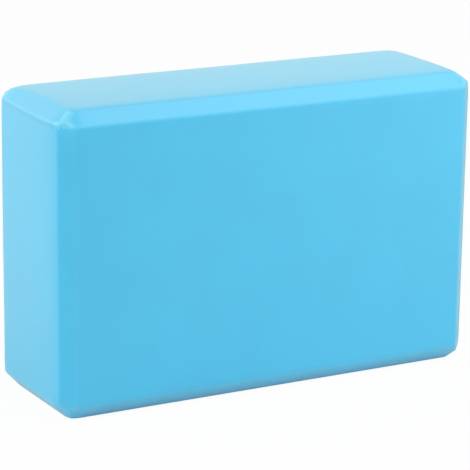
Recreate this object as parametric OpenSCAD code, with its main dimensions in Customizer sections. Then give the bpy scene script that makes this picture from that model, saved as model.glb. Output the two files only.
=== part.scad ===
// Foam exercise block: one solid brick of closed-cell foam that stands on its
// long narrow face. All twelve edges are bevelled, and each bevel runs into the
// faces beside it through a soft rounded edge, as cut foam has.
//
// Millimetres. +X runs along the block, +Y through it and +Z up.
// The origin is the middle of the face that it stands on.

/* [Block] */
// Length of the block, along X
block_length = 229; // [150:1:320]
// Thickness of the block, from its front face to its back face, along Y
block_thickness = 76; // [50:1:130]
// Height of the block as it stands, along Z
block_height = 151; // [90:1:220]

/* [Edges] */
// How far each 45 degree bevel cuts back into the two faces that it joins
bevel = 7.5; // [5:0.5:14]
// Radius of the soft edge between a face and a bevel
edge_radius = 4; // [1:0.5:5]

/* [Hidden] */
block_colour = "#5bc3ea";
arc_facets = 64;
// Length of straight side that a soft edge takes up on each side of its corner
round_reach = edge_radius * tan(45 / 2);
// Distance from a bar's side to where the straight part of that side begins
side_start = bevel + round_reach;
// Distance from a bar's side to where the straight part of the bevel begins
bevel_start = round_reach * sin(45);

// One quarter of a bar's outline, from its middle out to the corner at (x, y):
// straight sides, with a circle under each of the two soft edges of the bevel.
module outline_quarter(x, y) {
    polygon([
        [0, 0],
        [x, 0],
        [x, y - side_start],
        [x - bevel_start, y - bevel + bevel_start],
        [x - bevel + bevel_start, y - bevel_start],
        [x - side_start, y],
        [0, y]
    ]);
    translate([x - edge_radius, y - side_start])
        circle(r = edge_radius, $fn = arc_facets);
    translate([x - side_start, y - edge_radius])
        circle(r = edge_radius, $fn = arc_facets);
}

// Outline of a bar of the given width and height, centred, with four bevels
module bar_outline(width, height) {
    for (side = [0, 1])
        for (end = [0, 1])
            mirror([side, 0])
                mirror([0, end])
                    outline_quarter(width / 2, height / 2);
}

// A straight bevelled bar along Z, with square-cut ends
module bar(width, height, length) {
    linear_extrude(height = length, center = true)
        bar_outline(width, height);
}

// The block is what three bevelled bars, one along each axis, have in common.
// Each bar carries the four bevels that run its own way.
module foam_block() {
    color(block_colour)
        translate([0, 0, block_height / 2])
            intersection() {
                bar(block_length, block_thickness, block_height);
                rotate([90, 0, 0])
                    bar(block_length, block_height, block_thickness);
                rotate([0, 90, 0])
                    bar(block_height, block_thickness, block_length);
            }
}

foam_block();
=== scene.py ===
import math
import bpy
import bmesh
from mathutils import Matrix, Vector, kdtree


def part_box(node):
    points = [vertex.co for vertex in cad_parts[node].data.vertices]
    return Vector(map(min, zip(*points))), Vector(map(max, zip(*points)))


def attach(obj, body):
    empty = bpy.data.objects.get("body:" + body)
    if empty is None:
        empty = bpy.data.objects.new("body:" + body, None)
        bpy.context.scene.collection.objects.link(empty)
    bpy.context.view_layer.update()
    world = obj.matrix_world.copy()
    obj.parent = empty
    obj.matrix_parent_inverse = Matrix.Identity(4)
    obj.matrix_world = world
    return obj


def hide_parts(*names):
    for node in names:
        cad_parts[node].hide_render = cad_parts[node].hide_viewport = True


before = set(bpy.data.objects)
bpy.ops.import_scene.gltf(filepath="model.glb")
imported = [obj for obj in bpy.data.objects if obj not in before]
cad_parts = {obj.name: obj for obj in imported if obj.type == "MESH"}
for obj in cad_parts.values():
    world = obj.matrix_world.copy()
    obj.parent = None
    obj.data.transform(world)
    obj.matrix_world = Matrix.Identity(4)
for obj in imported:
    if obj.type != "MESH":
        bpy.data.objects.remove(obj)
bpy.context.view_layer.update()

# %% [markdown]
# A foam exercise block, lesson by lesson. The real block is one brick of closed-cell EVA foam. It is sawn
# from a thick bun of foam, its twelve edges are cut off at a slant, and the cut edges then relax and turn
# soft. The cells below follow that order: brick, slices, domed faces, slanted cuts, soft edges, pressed
# line, worn corners, and then the foam's own finish and a small studio to look at it in. Everything is in
# metres, with +X along the block, +Y through it and +Z up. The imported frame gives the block's box, and
# every piece below is placed from that box, so nothing has to be fitted by eye.

MM = 0.001
low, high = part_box("foam_block")
size = high - low
middle = (low + high) / 2
half = size / 2
print("block", [round(side / MM, 1) for side in size], "mm, middle at", [round(v, 4) for v in middle])

# %% [markdown]
# The camera comes first, so that every later step can be looked at. The block is seen from its left and a
# little from above, through a long lens, which keeps its upright edges nearly parallel. A camera could be
# tracked to an empty, but a few named numbers are easier to change and to read: how far the view is turned
# and tilted, how far away it stands, and by how much it aims beside the block's middle. The three axes of
# the view are worked out first. Written as the columns of a matrix, they are the camera's rotation.

# %% Camera axes
VIEW_TURN = math.radians(28.890)
VIEW_DOWN = math.radians(15.401)
VIEW_ROLL = math.radians(0.757)


def view_axes(turn, down, roll):
    """The camera's right, up and forward axes, for a turn about Z, a downward tilt and a roll."""
    forward = Vector((
        math.sin(turn) * math.cos(down),
        math.cos(turn) * math.cos(down),
        -math.sin(down),
    ))
    level = Vector((math.cos(turn), -math.sin(turn), 0.0))
    upright = level.cross(forward)
    right = math.cos(roll) * level + math.sin(roll) * upright
    up = math.cos(roll) * upright - math.sin(roll) * level
    return right, up, forward


right, up, forward = view_axes(VIEW_TURN, VIEW_DOWN, VIEW_ROLL)
print("looking along", [round(v, 3) for v in forward])

# %% Camera place and lens
VIEW_DISTANCE = 1215.80 * MM
AIM_RIGHT = -1.76 * MM
AIM_UP = -4.54 * MM
LENS_MM = 186.82
SENSOR_MM = 36.0
NEAREST_SEEN = 50 * MM


def add_camera():
    aim = middle + AIM_RIGHT * right + AIM_UP * up
    turned = Matrix((right, up, -forward)).transposed()
    bpy.ops.object.camera_add(location=aim - VIEW_DISTANCE * forward, rotation=turned.to_euler())
    camera = bpy.context.object
    camera.name = "view_camera"
    camera.data.lens = LENS_MM
    camera.data.sensor_width = SENSOR_MM
    camera.data.clip_start = NEAREST_SEEN
    bpy.context.scene.camera = camera
    return camera


camera = add_camera()
print("camera at", [round(v, 3) for v in camera.location])

# %% [markdown]
# The brick. The real one starts as a plain sawn brick too, so a cube is the right start. It is added with
# sides of one metre at the block's middle and resized to the frame's box. Its place and scale are applied
# at once: the object then sits at the origin, unturned and unscaled, and its place is in its mesh, which
# is what the export and every pattern on Object coordinates count on.

# %% Brick
bpy.ops.object.select_all(action="DESELECT")
bpy.ops.mesh.primitive_cube_add(size=1.0, location=middle)
block = bpy.context.object
block.name = "foam_body"
block.data.name = "foam_body"
bpy.ops.transform.resize(value=size)
bpy.ops.object.transform_apply(location=True, rotation=True, scale=True)
print("brick", [round(side / MM, 1) for side in block.dimensions], "mm")

# %% [markdown]
# Slices. A face with only four corners can't dome, so the faces need points between their corners. An
# even subdivision would spend most of its points in the calm middle. Bisect cuts the mesh with a plane at
# a place that is chosen, so the slices are put close together beside the edges, where the foam rolls off,
# and up to 5 mm apart elsewhere. Bisect only cuts what is selected, so a first helper selects the faces
# that are wanted. The second one cuts them, and the third tells how the mesh has grown.

# %% Helpers for edit mode
def select_faces(wanted):
    """In edit mode, selects the faces for which wanted(face) is true and no others."""
    bpy.ops.mesh.select_mode(type="FACE")
    bpy.ops.mesh.select_all(action="DESELECT")
    mesh = bmesh.from_edit_mesh(block.data)
    for face in mesh.faces:
        face.select_set(wanted(face))
    bmesh.update_edit_mesh(block.data)


def slice_at(axis, place, wanted):
    """Cuts the wanted faces with a plane square to an axis, at a place measured from the block's middle."""
    centre = middle.copy()
    centre[axis] += place
    normal = Vector((0.0, 0.0, 0.0))
    normal[axis] = 1.0
    select_faces(wanted)
    bpy.ops.mesh.bisect(plane_co=centre, plane_no=normal)


def tell(step):
    print(step, len(block.data.polygons), "faces", len(block.data.vertices), "points")


tell("brick:")

# %% Slices
BEVEL = 7.5 * MM
SLICES_INSIDE = (-2.5, 3.0, 3.9, 5.0, 6.6, 8.6, 11.0, 14.0, 18.0)
WIDEST_SLICE = 5.0 * MM


def slice_places(flat):
    """Places on one axis: close together inside both edges of the flat part, wider at its middle."""
    near = [flat - inside * MM for inside in SLICES_INSIDE]
    parts = math.ceil(2 * near[-1] / WIDEST_SLICE)
    even = [near[-1] * (1 - 2 * part / parts) for part in range(1, parts)]
    return near + even + [-place for place in reversed(near)]


def slice_all(wanted):
    bpy.ops.object.mode_set(mode="EDIT")
    for axis in range(3):
        for place in slice_places(half[axis] - BEVEL):
            slice_at(axis, place, wanted)
    bpy.ops.object.mode_set(mode="OBJECT")


slice_all(lambda face: True)
tell("sliced:")

# %% [markdown]
# Domed faces. Foam holds a little pressure in its cells, and a sawn face swells in its middle and falls
# away towards its edges. On this block the top falls away by about a millimetre towards its long edges
# and less towards its ends, and the two end faces fall away most beside the near upright edges. The base
# stays flat, because the block stands on it. Proportional editing would make such a dome by hand. In code
# a Displace modifier with a vertex group does the same: the group says how much each point takes part, and
# the modifier says how far and which way it goes. Each dome is an exponential, which is steep at the edge
# and soon dies out, as the roll-off of soft foam does.

# %% Helpers for moving points by weight
AT_FACE = 0.01 * MM
OVERLAP = 2.5 * MM


def weigh(name, share):
    """A vertex group with the weights that share(place) gives, the place measured from the middle."""
    group = block.vertex_groups.new(name=name)
    for point in block.data.vertices:
        group.add([point.index], share(point.co - middle), "REPLACE")


def push(name, depth, direction="NORMAL"):
    """Moves the points of a vertex group, by depth where the weight is 1."""
    pushing = block.modifiers.new(name, "DISPLACE")
    pushing.vertex_group = name
    pushing.mid_level = 0.0
    pushing.strength = depth
    pushing.direction = direction
    bpy.ops.object.modifier_apply(modifier=name)


def fall(inside, fade):
    """1 a little beyond a face's edge, and falling away with the distance inside the face."""
    return math.exp(-(max(inside, -OVERLAP) + OVERLAP) / fade)


def at_edge(depth, fade):
    """The depth that fall() needs, for the face to sink by the given depth at its edge."""
    return depth * math.exp(OVERLAP / fade)


# %% Domed top
TOP_RISE = 0.65 * MM
TOP_SINK = 0.95 * MM
TOP_FADE = 8.5 * MM
TOP_END_SINK = 0.37 * MM
TOP_END_FADE = 3.0 * MM


def on_top(place):
    return 1.0 if place.z > half.z - AT_FACE else 0.0


weigh("top", on_top)
weigh("top_long", lambda place: on_top(place) * fall(half.y - BEVEL - abs(place.y), TOP_FADE))
weigh("top_ends", lambda place: on_top(place) * fall(half.x - BEVEL - abs(place.x), TOP_END_FADE))
push("top", TOP_RISE, "Z")
push("top_long", -at_edge(TOP_SINK, TOP_FADE), "Z")
push("top_ends", -at_edge(TOP_END_SINK, TOP_END_FADE), "Z")
print("top stands", round((max(p.co.z for p in block.data.vertices) - high.z) / MM, 2), "mm above the box")

# %% Domed ends
END_RISE = 0.35 * MM
END_SINK_FRONT = 1.1 * MM
END_SINK_BACK = 0.5 * MM
END_FADE = 7.0 * MM


def on_end(place, way):
    return 1.0 if place.x * way > half.x - AT_FACE else 0.0


for end, way in (("left", -1), ("right", 1)):
    weigh(end, lambda place: on_end(place, way))
    weigh(end + "_front", lambda place: on_end(place, way) * fall(half.y - BEVEL + place.y, END_FADE))
    weigh(end + "_back", lambda place: on_end(place, way) * fall(half.y - BEVEL - place.y, END_FADE))
for end, way in (("left", -1), ("right", 1)):
    push(end, way * END_RISE, "X")
    push(end + "_front", -way * at_edge(END_SINK_FRONT, END_FADE), "X")
    push(end + "_back", -way * at_edge(END_SINK_BACK, END_FADE), "X")
block.vertex_groups.clear()     # the weights have done their work
print("length over the domes", round(block.dimensions.x / MM, 2), "mm")

# %% [markdown]
# Slanted cuts. The Bevel modifier would make slanted edges too, but where three of them meet it builds a
# small triangle. The real corners are mitred: a knife has cut each edge off in a straight line, and
# three cuts meet in one point. Twelve bisects do exactly that. Each clears what lies outside its
# plane and fills the opening with a new face. All cuts run at 45 degrees or within two degrees of it,
# except the two along the short top edges, which are flatter. The cuts along the short edges at the top
# and the base are also a little out of true, deeper at the front than at the back, as a cut made against
# a hand-held guide is. The new faces are then sliced at the same places as the old ones, so that their
# long edges have matching points and shade evenly.

# %% Slanted cuts
TOP_END_CUTS = {-1: (7.7 * MM, 5.8 * MM), 1: (8.6 * MM, 6.2 * MM)}
TOP_END_LEAN = -0.023
BASE_END_CUTS = {-1: 7.0 * MM, 1: BEVEL}
BASE_END_LEAN = -0.013


def cut_edge(a, b, side_a, side_b, cut_a=BEVEL, cut_b=BEVEL, lean=0.0):
    """Cuts off the edge between two faces, cut_a in from it along axis a and cut_b along axis b.

    With a lean the cut isn't parallel to the edge: cut_a grows by lean for each metre along it.
    """
    on_face = middle.copy()
    on_face[a] += side_a * (half[a] - cut_a)
    on_face[b] += side_b * half[b]
    outward = Vector((lean * cut_b, lean * cut_b, lean * cut_b))
    outward[a] = side_a * cut_b
    outward[b] = side_b * cut_a
    bpy.ops.mesh.select_all(action="SELECT")
    bpy.ops.mesh.bisect(plane_co=on_face, plane_no=outward.normalized(), use_fill=True,
                        clear_outer=True, threshold=AT_FACE)


bpy.ops.object.mode_set(mode="EDIT")
for side_a in (-1, 1):
    for side_b in (-1, 1):
        cut_edge(0, 1, side_a, side_b)
        cut_edge(1, 2, side_a, side_b)
    cut_edge(0, 2, side_a, -1, BASE_END_CUTS[side_a], lean=BASE_END_LEAN)
    cut_edge(0, 2, side_a, 1, *TOP_END_CUTS[side_a], lean=TOP_END_LEAN)
bpy.ops.mesh.select_all(action="SELECT")
bpy.ops.mesh.remove_doubles(threshold=AT_FACE)
bpy.ops.mesh.normals_make_consistent(inside=False)
bpy.ops.object.mode_set(mode="OBJECT")
tell("cut:")

# %% Slices across the slanted faces
SLANTED = 0.4


def is_slanted(face):
    """True for a face whose normal is shared by two of the axes."""
    return sorted(abs(part) for part in face.normal)[1] > SLANTED


slice_all(is_slanted)
tell("slanted faces sliced:")

# %% [markdown]
# Soft edges. A foam edge is never sharp: the cells at the edge have nothing beside them and give way, so
# it rounds off to a radius of two to three millimetres. The upper edges of the slanted faces at the base
# are softer still, because the block is set down on them again and again. The Bevel modifier can round
# each edge by its own amount when it is limited by bevel weight. So every edge that turns by more than 25
# degrees is given a weight, which leaves the domes and slices out. Clamp overlap stays off: one short edge
# at a corner would otherwise make all the rounding narrower. The same pass notes where the sharp edges
# are, as points in a k-d tree, which later tells how far any place on the foam is from the nearest one.
# The Bevel modifier takes a width and not a radius. An arc that turns by an angle takes up its radius
# times the tangent of half that angle on each side of the edge, and a slanted face turns by 45 degrees.

# %% Where the edges are
SHARP = math.radians(25)
EDGE_POINT_STEP = 0.8 * MM
EDGE_RADIUS = 2.4 * MM
BASE_RADIUS = 6.3 * MM
RIM_SPREAD = 0.3 * MM


def is_base_rim(edge):
    """True for the upper edges of the four slanted faces at the base, which are the softest."""
    return all(abs(point.co.z - low.z - BEVEL) < RIM_SPREAD for point in edge.verts)


def note_edges():
    """Gives every sharp edge its bevel weight, and returns points along all of them."""
    mesh = bmesh.new()
    mesh.from_mesh(block.data)
    weight = mesh.edges.layers.float.new("bevel_weight_edge")
    found = []
    for edge in mesh.edges:
        if edge.calc_face_angle(0.0) < SHARP:
            continue
        edge[weight] = 1.0 if is_base_rim(edge) else EDGE_RADIUS / BASE_RADIUS
        start, end = (point.co for point in edge.verts)
        steps = max(1, math.ceil((end - start).length / EDGE_POINT_STEP))
        found += [start.lerp(end, step / steps) for step in range(steps + 1)]
    mesh.to_mesh(block.data)
    mesh.free()
    return found


sharp_points = note_edges()
edge_tree = kdtree.KDTree(len(sharp_points))
for number, place in enumerate(sharp_points):
    edge_tree.insert(place, number)
edge_tree.balance()
print("points along the edges", len(sharp_points))

# %% Soft edges
EDGE_SEGMENTS = 6
EDGE_TURN = math.radians(45)

softening = block.modifiers.new("softening", "BEVEL")
softening.limit_method = "WEIGHT"
softening.offset_type = "OFFSET"
softening.width = BASE_RADIUS * math.tan(EDGE_TURN / 2)
softening.segments = EDGE_SEGMENTS
softening.use_clamp_overlap = False
bpy.ops.object.modifier_apply(modifier="softening")
bpy.ops.object.mode_set(mode="EDIT")
bpy.ops.mesh.select_all(action="SELECT")
bpy.ops.mesh.normals_make_consistent(inside=False)
bpy.ops.mesh.faces_shade_smooth()
bpy.ops.object.mode_set(mode="OBJECT")
tell("soft:")

# %% [markdown]
# Pressed line. Along the top of each end face the knife has pressed the foam before it cut it, and a
# shallow trough has stayed just under the slanted face. It is a real dent, so it is made in the mesh; the
# material later paints shade along it too. A few slices are added there, on the end faces alone, and the
# points between them are pushed inwards with a bell-shaped weight, which has no hard rim.

# %% Pressed line
TROUGH = 0.22 * MM
TROUGH_BELOW = 2.0 * MM
TROUGH_WIDTH = 1.3 * MM
TROUGH_FADE = 3 * MM
TROUGH_SLICES = (6.5, 7.1, 7.7, 8.3, 9.0, 9.8, 10.7)
END_DEPTH = 3 * MM
FACING = 0.9


def below_cut(place):
    """How far a place on an end face lies below the lower edge of the slanted face."""
    cut_in, cut_down = TOP_END_CUTS[-1 if place.x < 0 else 1]
    leaned = cut_down * (1 + TOP_END_LEAN * place.y / cut_in)
    return half.z - leaned - place.z


def trough_share(place):
    """A bell across the line under the slanted face, on the end faces, fading before their corners."""
    if abs(place.x) < half.x - END_DEPTH:
        return 0.0
    along = min(max((half.y - BEVEL - abs(place.y)) / TROUGH_FADE, 0.0), 1.0)
    return along * math.exp(-((below_cut(place) - TROUGH_BELOW) / TROUGH_WIDTH) ** 2)


bpy.ops.object.mode_set(mode="EDIT")
for down in TROUGH_SLICES:
    slice_at(2, half.z - down * MM, lambda face: abs(face.normal.x) > FACING)
bpy.ops.object.mode_set(mode="OBJECT")
weigh("trough", trough_share)
push("trough", -TROUGH)
tell("pressed:")

# %% [markdown]
# What the finish needs to know. Two things in the finish follow the shape, and both are painted light: a
# painted highlight along the cut edges, strongest near the top corners, and painted shade along the
# pressed line, which deepens the shade in the dent. A Noise texture doesn't know where an edge is, so
# three numbers are stored in each point of the mesh as attributes, which the material reads by name and
# the export can bake. The highlight's place is stored as plain distances, because a distance stays true
# between two points and a narrow bell doesn't. All this is done now, while the corners are still where
# the k-d tree has them, and the numbers stay with their points.

# %% Distances and pressure as attributes
FARTHEST_MM = 30.0


def from_corner(place):
    """The distance from the nearest point where three slanted faces meet."""
    return Vector([half[axis] - abs(place[axis]) - BEVEL / 2 for axis in range(3)]).length


def from_top_corner(place):
    """The same in millimetres for the top corners, where the highlight is painted, growing faster
    downwards.
    """
    if place.z < 0:
        return FARTHEST_MM
    below = max(half.z - place.z - BEVEL / 2, 0.0)
    return math.hypot(from_corner(place), below) / MM


def store(name, number):
    """Stores in each point the number that number(place) gives, the place measured from the middle."""
    stored = block.data.attributes.new(name, "FLOAT", "POINT")
    values = [number(point.co - middle) for point in block.data.vertices]
    stored.data.foreach_set("value", values)
    print(name, "from", round(min(values), 2), "to", round(max(values), 2))


# The first two numbers place the painted highlight on the edges, the third the painted shade along the
# pressed line.
store("edge_mm", lambda place: min(edge_tree.find(place + middle)[2] / MM, FARTHEST_MM))
store("corner_mm", lambda place: min(from_top_corner(place), FARTHEST_MM))
store("trough_dent_and_shade", trough_share)

# %% [markdown]
# Worn corners. Handling and packing press the eight corners in, each by its own amount, because no two
# have been knocked alike. By hand one would pick up the corner's point with proportional editing on, and
# move it a little towards the middle, so that the foam around it follows. The same operator does it here,
# once for each corner. After that a Smooth modifier, which acts through a vertex group and so only near
# the corners, softens the three short ridges that meet there.

# %% Corners pressed in
CORNER_REACH = 10 * MM
CORNERS_PRESSED = (
    ((-1, -1, -1), 2.4 * MM),
    ((-1, -1, 1), 1.2 * MM),
    ((-1, 1, -1), 0.8 * MM),
    ((-1, 1, 1), 0.5 * MM),
    ((1, -1, -1), 0.4 * MM),
    ((1, -1, 1), 0.6 * MM),
    ((1, 1, -1), 0.8 * MM),
    ((1, 1, 1), 0.3 * MM),
)


def press_corner(side, depth):
    """Moves the corner on the given sides towards the middle, and its surroundings with it."""
    way = Vector(side)
    corner = middle + Vector([side[axis] * (half[axis] - BEVEL / 2) for axis in range(3)])
    bpy.ops.mesh.select_all(action="DESELECT")
    mesh = bmesh.from_edit_mesh(block.data)
    nearest = min(mesh.verts, key=lambda point: (point.co - corner).length_squared)
    nearest.select_set(True)
    bmesh.update_edit_mesh(block.data)
    bpy.ops.transform.translate(value=way * (-depth / way.length), use_proportional_edit=True,
                                proportional_edit_falloff="SMOOTH", proportional_size=CORNER_REACH)


bpy.ops.object.mode_set(mode="EDIT")
bpy.ops.mesh.select_mode(type="VERT")
for side, depth in CORNERS_PRESSED:
    press_corner(side, depth)
bpy.ops.object.mode_set(mode="OBJECT")
print("lowest point", round(min(point.co.z for point in block.data.vertices) / MM, 3), "mm")

# %% Corners smoothed
RIDGE_REACH = 6 * MM
RIDGE_ROUNDS = 15
RIDGE_PULL = 0.5

weigh("corners", lambda place: math.exp(-(from_corner(place) / RIDGE_REACH) ** 2))
rounding = block.modifiers.new("rounding", "SMOOTH")
rounding.vertex_group = "corners"
rounding.factor = RIDGE_PULL
rounding.iterations = RIDGE_ROUNDS
bpy.ops.object.modifier_apply(modifier="rounding")
print("skin", [round(side / MM, 2) for side in block.dimensions], "mm")

# %% [markdown]
# Slow waves. What makes the block a piece of foam and not a machined one is that its sides are never
# quite true. A Displace modifier with a Clouds texture moves the whole skin by a tenth of a millimetre or
# so, in waves as long as a thumb. It is too little to see as a shape, but the light on the large faces
# wanders a little, as it does on real foam. The waves fade out towards the base, which stays flat.

# %% Slow waves
WAVE_HEIGHT = 0.25 * MM
WAVE_LENGTH = 45 * MM
CALM_ABOVE_BASE = 15 * MM

clouds = bpy.data.textures.new("foam_waves", "CLOUDS")
clouds.noise_scale = WAVE_LENGTH
clouds.noise_depth = 1


def above_base(place):
    rise = min(max((place.z + half.z) / CALM_ABOVE_BASE, 0.0), 1.0)
    return rise * rise * (3 - 2 * rise)


weigh("free", above_base)
waves = block.modifiers.new("waves", "DISPLACE")
waves.texture = clouds
waves.texture_coords = "LOCAL"
waves.vertex_group = "free"
waves.mid_level = 0.5
waves.strength = WAVE_HEIGHT
bpy.ops.object.modifier_apply(modifier="waves")
print("skin", [round(side / MM, 2) for side in block.dimensions], "mm")

# %% [markdown]
# Cut EVA foam. It is a closed-cell foam: a mass of tiny bubbles, a tenth to half a millimetre across,
# opened by the knife. To the eye that gives an even, saturated colour with a pale bloom. Light that grazes
# the bubble walls comes back white, so a face seen at a flat angle looks milky and one seen straight on
# looks deep. In the Principled shader the sheen layer makes that bloom, and a fairly rough plain gloss
# adds the soft shine at the flattest angles. The colour is written as hex and turned to linear by one
# function. Specular level, IOR and sheen are the same all over, so they are set on the shader's own
# sockets.

# %% Helpers for materials
def linear(code):
    """An sRGB hex colour as linear red, green, blue and alpha."""
    parts = [int(code[start:start + 2], 16) / 255 for start in (1, 3, 5)]
    return [p / 12.92 if p <= 0.04045 else ((p + 0.055) / 1.055) ** 2.4 for p in parts] + [1.0]


def add_node(tree, kind, settings=None, links=None):
    """Adds a node, sets its properties and inputs by name or number, and links sockets to its inputs."""
    node = tree.nodes.new(kind)
    for key, value in (settings or {}).items():
        if isinstance(key, str) and hasattr(node, key):
            setattr(node, key, value)
        else:
            node.inputs[key].default_value = value
    for key, socket in (links or {}).items():
        tree.links.new(socket, node.inputs[key])
    return node


FOAM_BLUE = "#37c4f1"
print("foam blue is", [round(part, 3) for part in linear(FOAM_BLUE)[:3]], "in linear light")

# %% Cut EVA foam: shader
FOAM_IOR = 1.49
FOAM_GLOSS = 0.6
BLOOM = 0.32
BLOOM_SPREAD = 0.65
BLOOM_TINT = (1.0, 0.96, 0.64, 1.0)

foam = bpy.data.materials.new("eva_foam_cut")
foam.use_nodes = True
tree = foam.node_tree
shader = tree.nodes["Principled BSDF"]
shader.inputs["IOR"].default_value = FOAM_IOR
shader.inputs["Specular IOR Level"].default_value = FOAM_GLOSS
shader.inputs["Sheen Weight"].default_value = BLOOM
shader.inputs["Sheen Roughness"].default_value = BLOOM_SPREAD
shader.inputs["Sheen Tint"].default_value = BLOOM_TINT
block.data.materials.append(foam)
on_foam = add_node(tree, "ShaderNodeTexCoord").outputs["Object"]
print("IOR", FOAM_IOR, "gloss", FOAM_GLOSS, "bloom", BLOOM)

# %% [markdown]
# Colour of the foam. A bun of foam is not the same blue all through: where it rose a little more, its
# walls are thinner and it is paler. That gives blotches a few centimetres wide, of a few parts in a
# hundred. A slow change of a few parts in a hundred from one end to the other is painted light: the blue
# is darker towards the left end and lighter towards the right, as the light falls more strongly from the
# right. The knife's drag and the bubbles themselves give a finer speckle. The bubbles are drawn at 0.9
# mm, about twice the size of the real ones, because anything finer is lost between the pixels. A
# texture's scale counts waves in a metre, so it is one over a size. Each pattern is turned into a factor
# close to 1, and their product scales the blue.

# %% Patterns in the foam
BLOTCH = 35 * MM
DRAG = 6 * MM
CELL = 0.9 * MM

blotches = add_node(tree, "ShaderNodeTexNoise", {"Scale": 1 / BLOTCH, "Detail": 1.0},
                    {"Vector": on_foam}).outputs["Fac"]
drag = add_node(tree, "ShaderNodeTexNoise", {"Scale": 1 / DRAG, "Detail": 1.0},
                {"Vector": on_foam}).outputs["Fac"]
cells = add_node(tree, "ShaderNodeTexVoronoi", {"Scale": 1 / CELL}, {"Vector": on_foam}).outputs["Distance"]
along = add_node(tree, "ShaderNodeSeparateXYZ", links={0: on_foam}).outputs["X"]
print("cells", round(CELL / MM, 1), "mm, drag", round(DRAG / MM), "mm, blotches", round(BLOTCH / MM), "mm")

# %% Tone of the foam
BLOTCH_TONE = 0.04
DRAG_TONE = 0.01
CELL_TONE = 0.02
# The change from end to end is painted light: the blue is darker at the left end and lighter at the right,
# standing in for the light that falls more strongly from the right.
SIDE_LIGHT_PAINTED = 0.025

blotch_tone = add_node(tree, "ShaderNodeMapRange", {
    "To Min": 1 - BLOTCH_TONE, "To Max": 1 + BLOTCH_TONE}, {"Value": blotches})
drag_tone = add_node(tree, "ShaderNodeMapRange", {
    "To Min": 1 - DRAG_TONE, "To Max": 1 + DRAG_TONE}, {"Value": drag})
cell_tone = add_node(tree, "ShaderNodeMapRange", {
    "To Min": 1 + CELL_TONE, "To Max": 1 - CELL_TONE}, {"Value": cells})
# Painted light: darker towards the left end, lighter towards the right.
painted_side_light = add_node(tree, "ShaderNodeMapRange", {
    "From Min": -half.x, "From Max": half.x, "To Min": 1 - SIDE_LIGHT_PAINTED, "To Max": 1 + SIDE_LIGHT_PAINTED,
}, {"Value": along})
blotches_and_painted_light = add_node(tree, "ShaderNodeMath", {"operation": "MULTIPLY"},
                     {0: blotch_tone.outputs["Result"], 1: painted_side_light.outputs["Result"]})
fine_tone = add_node(tree, "ShaderNodeMath", {"operation": "MULTIPLY"},
                     {0: drag_tone.outputs["Result"], 1: cell_tone.outputs["Result"]})
tone = add_node(tree, "ShaderNodeMath", {"operation": "MULTIPLY"},
                {0: blotches_and_painted_light.outputs["Value"], 1: fine_tone.outputs["Value"]})
toned = add_node(tree, "ShaderNodeVectorMath", {"operation": "SCALE", 0: linear(FOAM_BLUE)[:3]},
                 {"Scale": tone.outputs["Value"]})
print("tone nodes", len(tree.nodes))

# %% [markdown]
# Painted shade and painted highlight. The pressed line is mixed towards a deeper blue, by the number
# stored for it: that is painted shade in the dent. The edges are mixed towards a pale blue, which is a
# painted highlight where the light catches the rounded edges: a smooth step turns the distance from an
# edge into a narrow band, and a second one, of the distance from a corner, makes that band strong at the
# top corners and all but invisible elsewhere.

# %% Painted shade on the pressed line and painted highlight on the edges
# The deep blue paints shade along the pressed line.
TROUGH_SHADE_BLUE = "#1b9fd0"
# The pale blue paints a highlight along the edges, strongest at the top corners.
EDGE_HIGHLIGHT_BLUE = "#8fe6fb"
MOST_TROUGH_SHADE = 0.25
CORNER_HIGHLIGHT = 0.5
EDGE_HIGHLIGHT = 0.06
HIGHLIGHT_FULL_MM = 0.35
HIGHLIGHT_TO_MM = 1.5
CORNER_FULLY_MM = 5.0
CORNER_TO_MM = 8.0

# Painted shade in the pressed dent, mixed in by the number stored for it.
trough_dent_and_shade = add_node(tree, "ShaderNodeAttribute", {"attribute_name": "trough_dent_and_shade"})
trough_shade_part = add_node(tree, "ShaderNodeMath", {"operation": "MULTIPLY", 1: MOST_TROUGH_SHADE},
                        {0: trough_dent_and_shade.outputs["Fac"]})
trough_shaded = add_node(tree, "ShaderNodeMix", {"data_type": "RGBA", 7: linear(TROUGH_SHADE_BLUE)},
                {0: trough_shade_part.outputs["Value"], 6: toned.outputs["Vector"]})
# Painted highlight along the edges, strongest at the top corners.
from_edge = add_node(tree, "ShaderNodeAttribute", {"attribute_name": "edge_mm"})
at_an_edge = add_node(tree, "ShaderNodeMapRange", {
    "interpolation_type": "SMOOTHSTEP", "From Min": HIGHLIGHT_FULL_MM, "From Max": HIGHLIGHT_TO_MM, "To Min": 1.0,
    "To Max": 0.0,
}, {"Value": from_edge.outputs["Fac"]})
corner = add_node(tree, "ShaderNodeAttribute", {"attribute_name": "corner_mm"})
at_a_corner = add_node(tree, "ShaderNodeMapRange", {
    "interpolation_type": "SMOOTHSTEP", "From Min": CORNER_FULLY_MM, "From Max": CORNER_TO_MM,
    "To Min": CORNER_HIGHLIGHT, "To Max": EDGE_HIGHLIGHT,
}, {"Value": corner.outputs["Fac"]})
painted_highlight = add_node(tree, "ShaderNodeMath", {"operation": "MULTIPLY"},
                {0: at_an_edge.outputs["Result"], 1: at_a_corner.outputs["Result"]})
highlighted = add_node(tree, "ShaderNodeMix", {"data_type": "RGBA", 7: linear(EDGE_HIGHLIGHT_BLUE)},
                {0: painted_highlight.outputs["Value"], 6: trough_shaded.outputs[2]})
tree.links.new(highlighted.outputs[2], shader.inputs["Base Color"])
print("colours", FOAM_BLUE, TROUGH_SHADE_BLUE, EDGE_HIGHLIGHT_BLUE)

# %% [markdown]
# Surface of the foam. Each opened bubble is a tiny cup, so the surface is rough to the light without
# being rough to the hand. Two bumps lie over each other: the cells, and a slower unevenness of a few
# millimetres, where the knife has dragged. Both are slight, a few hundredths of a millimetre. The
# roughness wanders with the blotches, a touch glossier where the foam is denser.

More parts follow.
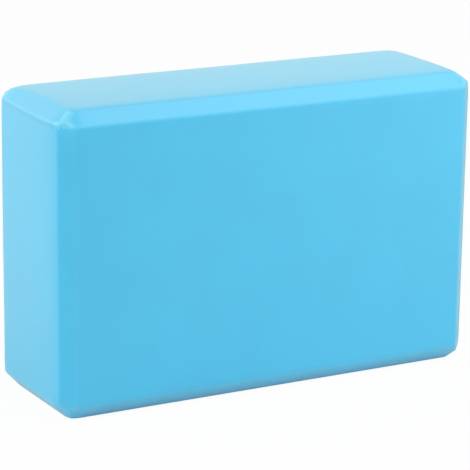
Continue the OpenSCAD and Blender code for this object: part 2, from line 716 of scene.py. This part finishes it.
# %% Surface of the foam
CELL_DEPTH = 0.015 * MM
DRAG_DEPTH = 0.03 * MM
SMOOTHEST = 0.36
ROUGHEST = 0.44

drag_bump = add_node(tree, "ShaderNodeBump", {"Distance": DRAG_DEPTH}, {"Height": drag})
cell_bump = add_node(tree, "ShaderNodeBump", {"Distance": CELL_DEPTH},
                     {"Height": cells, "Normal": drag_bump.outputs["Normal"]})
tree.links.new(cell_bump.outputs["Normal"], shader.inputs["Normal"])
roughness = add_node(tree, "ShaderNodeMapRange", {"To Min": SMOOTHEST, "To Max": ROUGHEST},
                     {"Value": blotches})
tree.links.new(roughness.outputs["Result"], shader.inputs["Roughness"])
print("foam material has", len(tree.nodes), "nodes")

# %% [markdown]
# The studio. The block stands on a pale floor in front of nothing but white. The white isn't made with
# more light, which would wash the foam out. The world shines at a low level and only looks white: Light
# Path tells whether a ray comes straight from the camera, through glass or off a gloss, and only such a
# ray sees it at strength 1. The floor does the same with most of its surface, and the rest of it is a
# plain matt paint that still takes the block's shadow. A rough gloss, as the foam's, sees mostly the
# shaded floor beside the block, so the floor shows such a ray only a small part of that white.

# %% What a ray sees
def shown_white(tree, glossy_part):
    """1 for a ray from the camera or through glass, glossy_part for one off a gloss, otherwise 0."""
    rays = add_node(tree, "ShaderNodeLightPath")
    straight = add_node(tree, "ShaderNodeMath", {"operation": "MAXIMUM"}, {
        0: rays.outputs["Is Camera Ray"], 1: rays.outputs["Is Transmission Ray"]})
    glossy = add_node(tree, "ShaderNodeMath", {"operation": "MULTIPLY", 1: glossy_part},
                      {0: rays.outputs["Is Glossy Ray"]})
    either = add_node(tree, "ShaderNodeMath", {"operation": "MAXIMUM"},
                      {0: straight.outputs["Value"], 1: glossy.outputs["Value"]})
    return either.outputs["Value"]


# %% White world
WORLD_LIGHT = 0.35

studio = bpy.data.worlds.new("studio_white")
bpy.context.scene.world = studio
studio.use_nodes = True
tree = studio.node_tree
background = tree.nodes["Background"]
background.inputs["Color"].default_value = (1.0, 1.0, 1.0, 1.0)
level = add_node(tree, "ShaderNodeMapRange", {"To Min": WORLD_LIGHT, "To Max": 1.0},
                 {"Value": shown_white(tree, 1.0)})
tree.links.new(level.outputs["Result"], background.inputs["Strength"])
print("the world lights at", WORLD_LIGHT)

# %% Floor
FLOOR_WIDTH = 8.0

bpy.ops.object.select_all(action="DESELECT")
bpy.ops.mesh.primitive_plane_add(size=FLOOR_WIDTH, location=(0.0, 0.0, low.z))
floor = bpy.context.object
floor.name = "studio_floor"
bpy.ops.object.transform_apply(location=True, rotation=True, scale=True)
print("floor", FLOOR_WIDTH, "m wide")

# %% Matt floor paint
FLOOR_PAINT = "#e7e7e7"
FLOOR_WHITE = 0.96
FLOOR_GLOSSY = 0.1

paint = bpy.data.materials.new("matt_white_paint")
paint.use_nodes = True
tree = paint.node_tree
matt = tree.nodes["Principled BSDF"]
matt.inputs["Base Color"].default_value = linear(FLOOR_PAINT)
matt.inputs["Roughness"].default_value = 1.0
matt.inputs["Specular IOR Level"].default_value = 0.0
glow = add_node(tree, "ShaderNodeEmission")
part = add_node(tree, "ShaderNodeMath", {"operation": "MULTIPLY", 1: FLOOR_WHITE},
                {0: shown_white(tree, FLOOR_GLOSSY)})
mixed = add_node(tree, "ShaderNodeMixShader", links={
    0: part.outputs["Value"], 1: matt.outputs["BSDF"], 2: glow.outputs["Emission"]})
tree.links.new(mixed.outputs["Shader"], tree.nodes["Material Output"].inputs["Surface"])
floor.data.materials.append(paint)
print("the camera sees", FLOOR_WHITE, "of the floor as plain white")

# %% [markdown]
# Lamps. Large soft boxes, about a metre square, stand one to two metres away. The key box hangs high at
# the right and its mirror image lies in the slanted face along the top. The box beside the camera lights
# the near upright cut, and the two at the left light the end face. A faint one behind at the right lifts
# the far side, and a narrow low one close by at the right makes the front brighter towards that end. Each
# is given by its way round from the front and its height above the horizon in degrees, its distance, its
# width and height in metres, and its power in watts, and it is turned to face the middle.

# %% Lamps
LAMPS = (
    ("key_box", 60, 59, 1.6, 0.9, 0.9, 8.6),
    ("camera_box", -54, 28, 2.0, 1.1, 1.1, 13.3),
    ("left_box", -120, 28, 1.6, 1.0, 1.0, 7.9),
    ("back_left_box", -150, 15, 1.2, 0.9, 0.9, 2.2),
    ("back_right_box", 150, 15, 1.2, 0.9, 0.6, 0.2),
    ("low_right_strip", 45, 10, 0.6, 0.25, 0.9, 1.15),
)

for name, around, above, reach, width, height, watts in LAMPS:
    around, above = math.radians(around), math.radians(above)
    way = Vector((
        math.sin(around) * math.cos(above),
        -math.cos(around) * math.cos(above),
        math.sin(above),
    ))
    bpy.ops.object.light_add(type="AREA", location=middle + reach * way)
    lamp = bpy.context.object
    lamp.name = name
    lamp.data.shape = "RECTANGLE"
    lamp.data.size = width
    lamp.data.size_y = height
    lamp.data.energy = watts
    lamp.rotation_euler = (-way).to_track_quat("-Z", "Y").to_euler()
    print(name, "at", [round(v, 2) for v in lamp.location])
bpy.context.scene.view_settings.view_transform = "Standard"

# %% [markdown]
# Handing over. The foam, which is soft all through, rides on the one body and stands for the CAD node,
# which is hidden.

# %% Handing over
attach(block, "root")
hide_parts("foam_block")
print("triangles", sum(len(face.vertices) - 2 for face in block.data.polygons))
